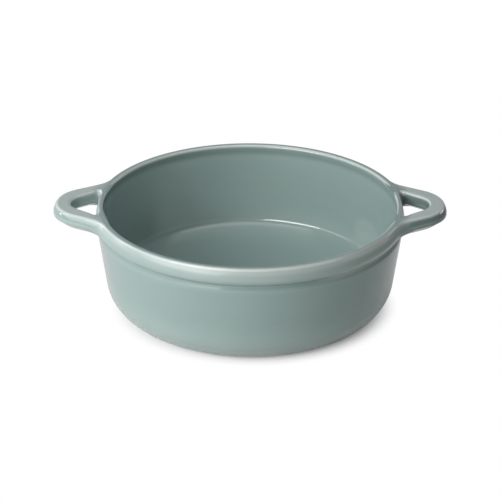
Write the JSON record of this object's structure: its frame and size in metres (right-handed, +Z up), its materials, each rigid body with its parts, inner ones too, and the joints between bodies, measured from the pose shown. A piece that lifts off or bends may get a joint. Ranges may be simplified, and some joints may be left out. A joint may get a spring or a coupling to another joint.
{
  "type": "casserole dish",
  "caption": "Round open casserole dish in glazed ceramic, with a rolled rim band, tapered wall, rounded base and loop handles level with the rim.",
  "frame": {"origin": "on the table, under the centre of the dish", "axes": "+X through the two handles, +Z up, -Y towards the viewer"},
  "size_m": [0.3116, 0.247, 0.09],
  "materials": {
    "glaze": "glossy grey-green glaze, lighter where it thins over the edges",
    "bare_clay": "unglazed stoneware, matt"
  },
  "bodies": {
    "root": {"bowl": "glaze", "rim_band": "glaze", "left_handle": "glaze", "right_handle": "glaze", "foot_ring": "bare_clay"}
  },
  "joints": []
}
